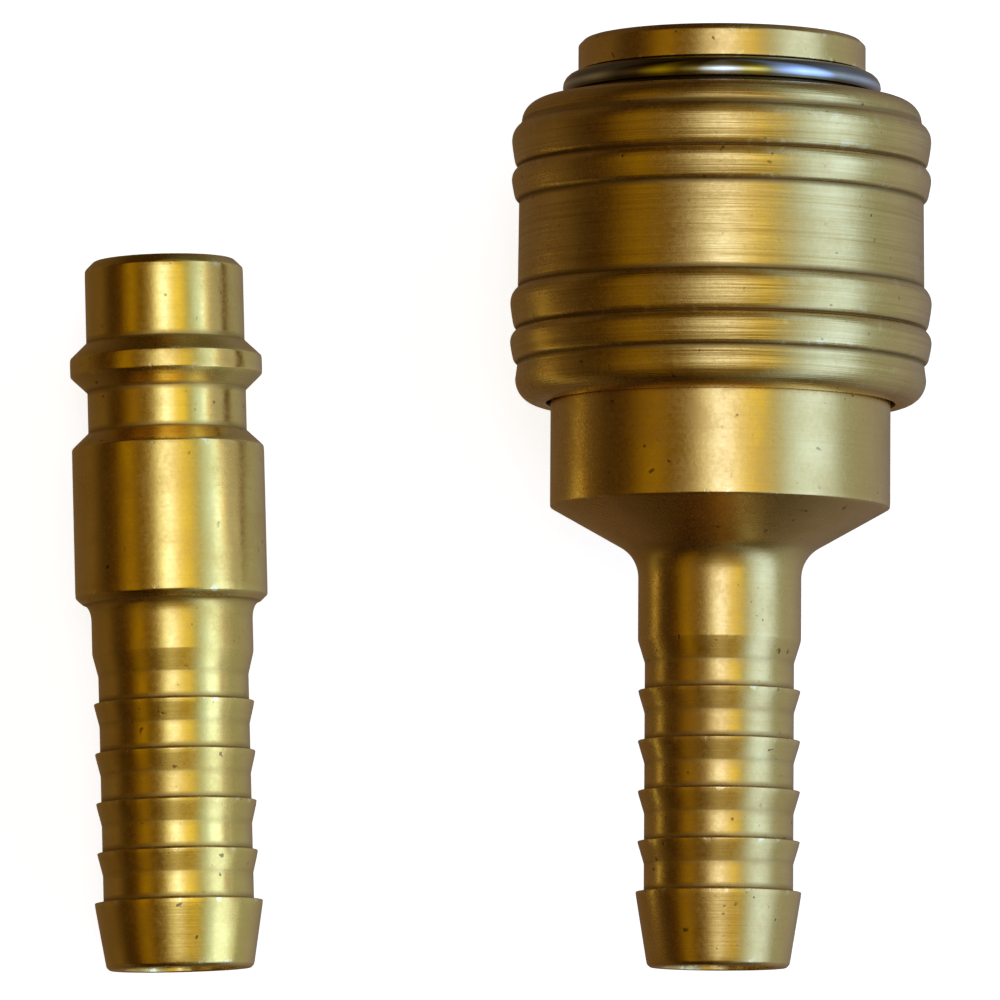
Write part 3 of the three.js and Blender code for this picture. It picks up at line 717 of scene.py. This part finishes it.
def make_light():
    """A soft studio as a world: its light depends on the angle round +Y, from straight up towards +X, and
    on the lean towards +Y. A warm strip is overhead, a cool window to the right, a brown room to the left."""
    world = bpy.data.worlds.new("studio")
    bpy.context.scene.world = world
    world.use_nodes = True
    tree = world.node_tree
    tree.nodes.clear()

    def add(kind, inputs=None, **settings):
        node = tree.nodes.new(kind)
        for key, value in settings.items():
            setattr(node, key, value)
        for key, value in (inputs or {}).items():
            if isinstance(value, bpy.types.NodeSocket):
                tree.links.new(value, node.inputs[key])
            else:
                node.inputs[key].default_value = value
        return node

    direction = add("ShaderNodeTexCoord").outputs["Generated"]
    x, y, z = add("ShaderNodeSeparateXYZ", {0: direction}).outputs
    angle = add("ShaderNodeMath", {0: x, 1: z}, operation="ARCTAN2").outputs[0]
    share = add("ShaderNodeMapRange", {"Value": angle, "From Min": -math.pi, "From Max": math.pi}).outputs[0]

    def ramp(value, full_turn, stops):
        """Colours at angles in degrees, over a full turn or a half turn centred on 0."""
        node = add("ShaderNodeValToRGB", {0: value})
        elements = node.color_ramp.elements
        while len(elements) < len(stops):
            elements.new(0.5)
        for element, (degrees, colour) in zip(elements, stops):
            element.position = degrees / full_turn + 0.5
            element.color = colour if len(colour) == 4 else (*colour, 1)
        return node.outputs

    # the fourth number is how far the light reaches along Y: 0 a short strip, 1 a long window
    room, reach = ramp(share, 360, [
        (-180, (0.17, 0.11, 0.06, 0.8)), (-125, (0.15, 0.10, 0.05, 0.8)), (-104, (0.17, 0.11, 0.04, 0.8)),
        (-84, (0.05, 0.028, 0.009, 0.8)), (-66, (0.07, 0.030, 0.005, 0.8)), (-47, (0.38, 0.24, 0.002, 0.7)),
        (-33, (0.13, 0.07, 0.002, 0.6)), (-19, (0.33, 0.24, 0.05, 0.1)), (-7, (1.42, 1.6, 1.7, 0)),
        (0, (1.85, 2.3, 4.2, 0)), (6, (1.5, 1.7, 2.2, 0)), (15, (1.1, 1.05, 0.38, 0)),
        (26, (1.05, 0.92, 0.18, 0.1)), (35, (0.46, 0.50, 0.26, 0.7)), (48, (0.75, 1.12, 1.9, 0.9)),
        (62, (1.0, 1.55, 3.0, 1)), (77, (0.86, 1.3, 2.4, 1)), (90, (0.38, 0.49, 0.54, 0.9)),
        (120, (0.39, 0.45, 0.56, 0.9)), (180, (0.17, 0.11, 0.06, 0.8)),
    ])
    lean = add("ShaderNodeMath", {0: y}, operation="ARCSINE").outputs[0]
    toward = add("ShaderNodeMapRange", {"Value": lean, "From Min": -math.pi / 2, "From Max": math.pi / 2})
    short = ramp(toward.outputs[0], 180, [
        (-90, (0.10, 0.07, 0.02)), (-60, (0.11, 0.06, 0.012)), (-33, (0.26, 0.20, 0.08)),
        (-18, (0.38, 0.32, 0.16)), (-9, (0.8, 0.74, 0.6)), (-4, (1, 1, 1)), (9, (1, 1, 1)),
        (20, (0.55, 0.48, 0.3)), (34, (0.2, 0.14, 0.05)), (90, (0.14, 0.09, 0.03)),
    ])[0]
    long = ramp(toward.outputs[0], 180, [
        (-90, (0.12, 0.08, 0.03)), (-60, (0.3, 0.24, 0.14)), (-38, (0.9, 0.9, 0.9)), (0, (1, 1, 1)),
        (38, (0.9, 0.9, 0.9)), (62, (0.35, 0.3, 0.2)), (90, (0.2, 0.15, 0.08)),
    ])[0]
    fade = add("ShaderNodeMix", {0: reach, 6: short, 7: long}, data_type="RGBA").outputs[2]
    light = add("ShaderNodeMix", {0: 1.0, 6: room, 7: fade}, data_type="RGBA", blend_type="MULTIPLY")
    shade = add("ShaderNodeBackground", {"Color": light.outputs[2], "Strength": 1.0})
    tree.links.new(shade.outputs[0], add("ShaderNodeOutputWorld").inputs["Surface"])


def make_panel():
    """A small one-sided panel between the halves. It lights the side of the plug that faces the socket."""
    light = bpy.data.lights.new("plug_side_panel", "AREA")
    light.shape, light.size, light.size_y = "RECTANGLE", 0.058, 0.013
    light.color, light.energy = (0.52, 0.67, 0.95), 0.0017
    panel = bpy.data.objects.new("plug_side_panel", light)
    panel.location = (-0.0025, -0.006, 0.0150)
    panel.rotation_mode = "QUATERNION"
    panel.rotation_quaternion = Vector((-1, 0, 0)).to_track_quat("-Z", "Y")
    panel.visible_camera = panel.visible_diffuse = False
    bpy.context.scene.collection.objects.link(panel)


def make_camera():
    """Nearly overhead, 620 mm away, moved towards the hose tails."""
    azimuth, elevation, distance = math.radians(0.36), math.radians(84.8), 0.62
    target = Vector((0.000165, 0.00016, 0.013))
    back = Vector((math.sin(azimuth) * math.cos(elevation), -math.cos(azimuth) * math.cos(elevation),
                   math.sin(elevation)))
    data = bpy.data.cameras.new("camera")
    data.lens = 361.6
    data.sensor_width = 36
    camera = bpy.data.objects.new("camera", data)
    camera.location = target + back * distance
    camera.rotation_mode = "QUATERNION"
    camera.rotation_quaternion = (-back).to_track_quat("-Z", "Y")
    data.clip_start, data.clip_end = 0.05, 20
    bpy.context.scene.collection.objects.link(camera)
    bpy.context.scene.camera = camera
    bpy.context.scene.view_settings.view_transform = "Standard"


make_floor()
make_light()
make_panel()
make_camera()
